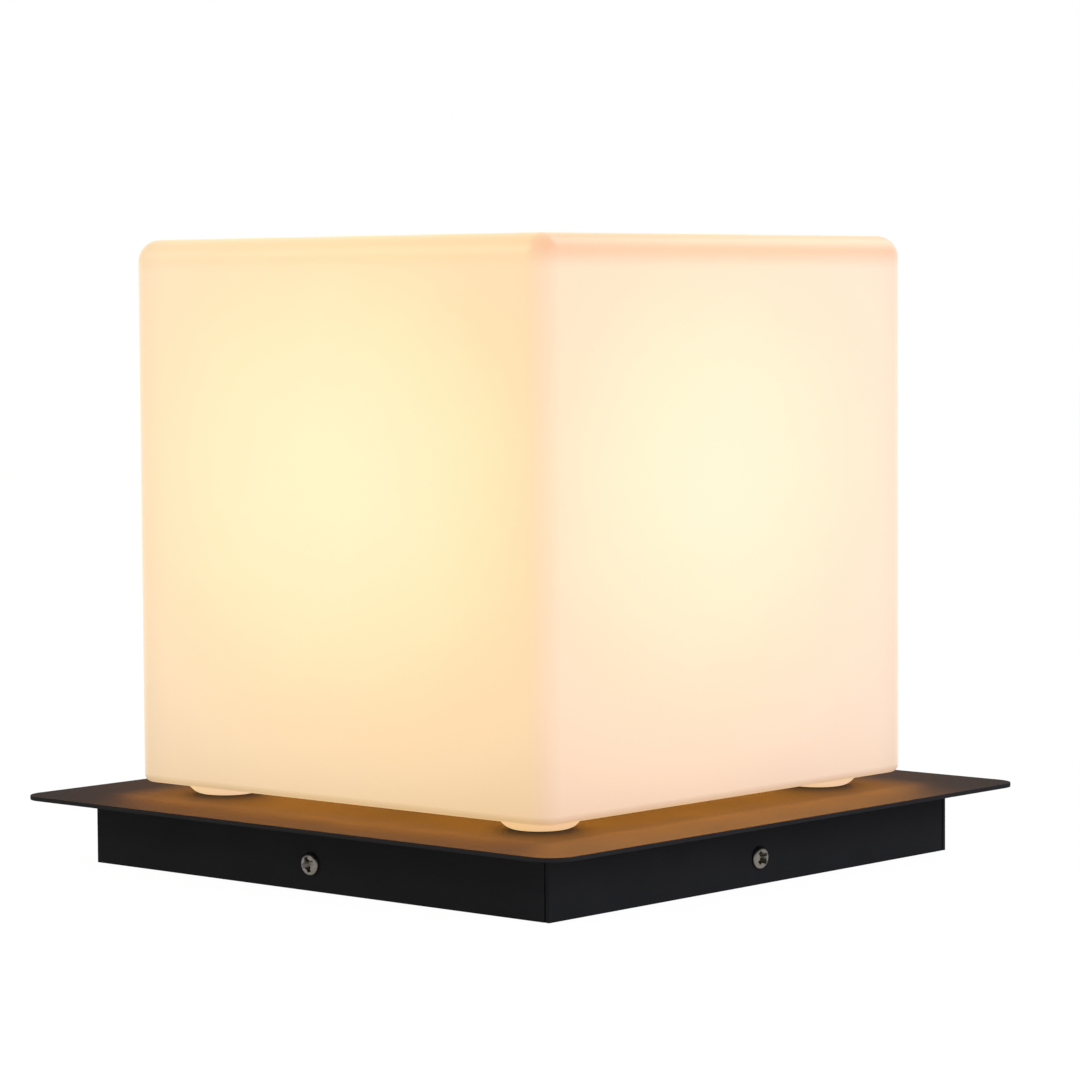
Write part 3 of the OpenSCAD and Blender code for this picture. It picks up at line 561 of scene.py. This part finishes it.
def lamp_housing_piece(wall):
    """The housing, which swells from its neck to its rim and turns in at both ends."""
    low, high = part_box("lamp_housing")
    base, rim = low.z / MM, high.z / MM
    rim_r, neck_r, turn_in = high.x / MM, 14.2, 0.5
    steps = 24
    outer = []
    for i in range(steps + 1):
        t = i / steps
        swell = t * t * (3 - 2 * t) * (0.75 + 0.25 * t)
        outer.append((neck_r + (rim_r - neck_r) * swell, base + (rim - base) * t))
    start = (neck_r, base + turn_in)
    lip = [(rim_r, rim - 0.4), (rim_r - turn_in, rim)]
    inner = [(r - wall, z) for r, z in reversed(outer)]
    foot = [(neck_r - wall, base), (neck_r - turn_in, base)]
    verts, faces = turned([start, *outer[1:-1], *lip, *inner, *foot, start])
    mesh_piece("lamp_body", verts, faces, lamp_white, "lamp", ["lamp_housing"], 40)


def lamp_globe_piece(wall):
    """The diffuser, a hollow part of a ball that is open below."""
    low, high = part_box("lamp_diffuser")
    radius, middle = high.x / MM, (high.z - high.x) / MM
    start = math.degrees(math.asin((low.z / MM - middle) / radius))
    globe = arc((0, middle), radius, start, 90, 28)
    inside = arc((0, middle), radius - wall, 90, start, 28)
    verts, faces = turned([*globe, *inside, globe[0]])
    mesh_piece("lamp_globe", verts, faces, opal_lamp, "lamp", ["lamp_diffuser"], 60)


LAMP_WALL = 1.6  # wall of the lamp's housing and diffuser, mm
lamp_cap_pieces()
lamp_housing_piece(LAMP_WALL)
lamp_globe_piece(LAMP_WALL)


# ---------------------------------------------------------------- side screws


SHANK_R = 2.0  # radius over the side screws' thread, mm


def cross_arm(head_h, turn_deg):
    """One arm of the cross recess: a bar through the head that tapers downwards."""
    mesh = bpy.data.meshes.new("form")
    bm = bmesh.new()
    bmesh.ops.create_cube(bm, size=1.0)
    for vert in bm.verts:
        top = vert.co.z > 0
        vert.co.x *= (6.2 if top else 2.6) * MM
        vert.co.y *= (1.8 if top else 0.9) * MM
        vert.co.z = (head_h + 0.3 if top else -0.3) * MM
    bmesh.ops.rotate(bm, verts=bm.verts, matrix=Matrix.Rotation(math.radians(turn_deg), 3, "Z"))
    bm.to_mesh(mesh)
    bm.free()
    arm = bpy.data.objects.new("form", mesh)
    bpy.context.scene.collection.objects.link(arm)
    return arm


def screw_head():
    """Flat domed pan head along +Z, its seat at z = 0, with a deep cross recess."""
    head_r, head_h, neck_r = 4.0, 1.9, SHANK_R - 0.3
    side = [(0, -1), (neck_r, -1), (neck_r, 0), (3.7, 0), (3.9, 0.12), (head_r, 0.4)]
    # the dome's radius, and how far it lies below the top there
    dome = [(3.95, 1.2), (3.8, 0.88), (3.5, 0.52), (3.05, 0.25), (2.4, 0.08), (1.4, 0.01), (0, 0)]
    head = turned_shape([*side, *((r, head_h - drop) for r, drop in dome)], sides=64)
    combine(head, [cross_arm(head_h, turn_deg) for turn_deg in (0, 90)], "DIFFERENCE")
    pit = [(0, -0.4), (1.1, 0), (2.05, head_h + 0.3), (0, head_h + 0.3)]
    combine(head, [turned_shape(pit, sides=32)], "DIFFERENCE")
    return head


def screw_shank():
    """Rolled thread and point along -Z, from inside the head."""
    length, tip, depth, pitch, sides, per_turn = 16, 4, 0.45, 1.4, 32, 8
    start = -0.8
    rows = round((length + start) / pitch * per_turn)
    verts, faces = [], []
    for i in range(rows + 1):
        z = start - (length + start) * i / rows
        left = length + z
        body_r = (SHANK_R - depth) * min(1, 0.08 + left / tip)
        crest = depth * min(1, left / tip) * min(1, (start - z) / (pitch / 2))
        for k in range(sides):
            wave = 0.5 + 0.5 * math.cos(TAU * (z / pitch - k / sides))
            r = max(0.02, body_r + crest * wave ** 3)
            verts.append((r * MM * math.cos(TAU * k / sides), r * MM * math.sin(TAU * k / sides), z * MM))
    for i in range(rows):
        for k in range(sides):
            a, b = i * sides + k, i * sides + (k + 1) % sides
            faces.append((a, b, b + sides, a + sides))
    faces.append(tuple(range(sides)))
    faces.append(tuple(range(rows * sides, (rows + 1) * sides)))
    return new_object("form", verts, faces)


def screw_mesh():
    """The mesh that the side screws share: head and shank along Z."""
    joined = bpy.data.meshes.new("side_screw")
    bm = bmesh.new()
    for form in (screw_head(), screw_shank()):
        bm.from_mesh(form.data)
        bpy.data.objects.remove(form)
    bm.to_mesh(joined)
    bm.free()
    clean_mesh(joined, 32)
    # painted reflection: the side screws' steel is darker and browner than bare steel
    joined.materials.append(screw_steel_painted_dark)
    return joined


def side_screws():
    """One screw in the middle of each side of the skirt, each with its cross turned its own way."""
    mesh = screw_mesh()
    seat = 110.05 * MM  # 0.05 mm off the skirt's face
    for side, way, turn_deg in (
        ("front", (0, -1, 0), 18),
        ("right", (1, 0, 0), 40),
        ("back", (0, 1, 0), 5),
        ("left", (-1, 0, 0), 63),
    ):
        node = "side_screw_" + side
        low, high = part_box(node)
        height = (low.z + high.z) / 2
        out = Vector(way)
        obj = bpy.data.objects.new("pan_screw_" + side, mesh)
        bpy.context.scene.collection.objects.link(obj)
        spin = Matrix.Rotation(math.radians(turn_deg), 4, "Z")
        lay = out.to_track_quat("Z", "Y").to_matrix().to_4x4()
        obj.matrix_world = Matrix.Translation(out * seat + Vector((0, 0, height))) @ lay @ spin
        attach(obj, node)
        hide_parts(node)


side_screws()


# ---------------------------------------------------------------- floor, light and camera


def seen_directly(tree):
    """1 for rays from the camera, and for what shows in gloss or through glass."""
    path = add_node(tree, "LightPath").outputs
    shine = add_node(tree, "Math", {"operation": "MAXIMUM"}, {
        0: path["Is Glossy Ray"], 1: path["Is Transmission Ray"]}).outputs[0]
    return add_node(tree, "Math", {"operation": "MAXIMUM"}, {0: path["Is Camera Ray"], 1: shine}).outputs[0]


def studio():
    """White floor and background, even sky, a soft warm key, a cool window on the right, a white rim."""
    world = bpy.data.worlds.new("studio")
    bpy.context.scene.world = world
    world.use_nodes = True
    tree = world.node_tree
    tree.nodes.clear()
    soft = add_node(tree, "Background", links={"Color": linear("#f4f3f1"), "Strength": 0.45})
    white = add_node(tree, "Background", links={"Color": (1, 1, 1, 1), "Strength": 1.0})
    mix = add_node(tree, "MixShader", links={0: seen_directly(tree), 1: soft.outputs[0], 2: white.outputs[0]})
    add_node(tree, "OutputWorld", links={0: mix.outputs[0]})

    floor = new_object("studio_floor", [(-6, -6, 0), (6, -6, 0), (6, 6, 0), (-6, 6, 0)], [(0, 1, 2, 3)])
    material = bpy.data.materials.new("white_paper")
    material.use_nodes = True
    tree = material.node_tree
    tree.nodes.clear()
    paper = add_node(tree, "BsdfDiffuse", links={"Color": linear("#efeeeb")})
    white = add_node(tree, "Emission", links={"Color": (1, 1, 1, 1), "Strength": 1.05})
    share = add_node(tree, "Math", {"operation": "MULTIPLY"}, {0: seen_directly(tree), 1: 0.93})
    lit = add_node(tree, "MixShader", links={0: share.outputs[0], 1: paper.outputs[0], 2: white.outputs[0]})
    clear = add_node(tree, "BsdfTransparent")
    below = add_node(tree, "NewGeometry").outputs["Backfacing"]
    both = add_node(tree, "MixShader", links={0: below, 1: lit.outputs[0], 2: clear.outputs[0]})
    add_node(tree, "OutputMaterial", links={0: both.outputs[0]})
    floor.data.materials.append(material)

    # name, place and width in metres, power in watts, colour
    for name, place, size, power, colour in (
        ("key", (-0.7, -1.1, 1.0), 0.9, 6.0, "#fff6ea"),
        ("window", (1.5, 0.2, 0.8), 1.1, 9.0, "#eef4ff"),
        ("rim", (0.2, 1.3, 1.1), 0.9, 5.0, "#ffffff"),
    ):
        lamp = bpy.data.lights.new(name, "AREA")
        lamp.shape = "DISK"
        lamp.size = size
        lamp.energy = power
        lamp.color = linear(colour)[:3]
        obj = bpy.data.objects.new(name, lamp)
        bpy.context.scene.collection.objects.link(obj)
        obj.location = place
        obj.visible_glossy = name != "window"
        aim = Vector((0, 0, 0.1)) - Vector(place)
        obj.rotation_euler = aim.to_track_quat("-Z", "Y").to_euler()


GLOW = {  # way the light faces, radiance and colour
    "front": ((0, -1, 0), 6.3, (1.0, 0.31, 0.0)),
    "right": ((1, 0, 0), 10.4, (1.0, 0.37, 0.04)),
    "back": ((0, 1, 0), 9.0, (1.0, 0.34, 0.02)),
    "left": ((-1, 0, 0), 9.0, (1.0, 0.34, 0.02)),
    "below": ((0, 0, -1), 8.6, (1.0, 0.34, 0.02)),
}


def shade_glow():
    """The shade's own warm light as it shows in the satin coat under and round it, moving with the shade."""
    low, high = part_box("shade")
    floor = low.z + FOOT_H * MM
    middle = Vector((0, 0, (floor + high.z) / 2))
    wide, tall = 210 * MM, high.z - floor
    for name, (way, radiance, colour) in GLOW.items():
        out = Vector(way)
        below = name == "below"
        reach = (tall / 2 if below else high.x) + 0.2 * MM
        lamp = bpy.data.lights.new("shade_glow_" + name, "AREA")
        lamp.shape = "RECTANGLE"
        lamp.size, lamp.size_y = wide, wide if below else tall
        lamp.color = colour
        lamp.energy = 4 * lamp.size * lamp.size_y * radiance
        obj = bpy.data.objects.new("shade_glow_" + name, lamp)
        bpy.context.scene.collection.objects.link(obj)
        obj.matrix_world = Matrix.Translation(middle + out * reach) @ (
            -out).to_track_quat("Z", "Y").to_matrix().to_4x4()
        obj.visible_camera = False
        obj.visible_diffuse = False
        obj.visible_transmission = False
        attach(obj, "shade")


def photo_camera():
    """The camera at the photograph's own angle, distance and lens."""
    azimuth, elevation, roll = (math.radians(v) for v in (41.770, 3.566, -0.369))
    target, distance = Vector((4.9, 4.38, 116.07)), 1432.93
    level = math.cos(elevation)
    back = Vector((math.sin(azimuth) * level, -math.cos(azimuth) * level, math.sin(elevation)))
    right = (-back).cross(Vector((0, 0, 1))).normalized()
    up = right.cross(-back)
    rolled_right = right * math.cos(roll) + up * math.sin(roll)
    rolled_up = up * math.cos(roll) - right * math.sin(roll)
    data = bpy.data.cameras.new("photo_camera")
    data.sensor_width = 36
    data.lens = 130.897
    camera = bpy.data.objects.new("photo_camera", data)
    bpy.context.scene.collection.objects.link(camera)
    turn = Matrix((rolled_right, rolled_up, back)).transposed().to_4x4()
    camera.matrix_world = Matrix.Translation((target + back * distance) * MM) @ turn
    bpy.context.scene.camera = camera


studio()
shade_glow()
photo_camera()
bpy.context.scene.view_settings.view_transform = "Standard"
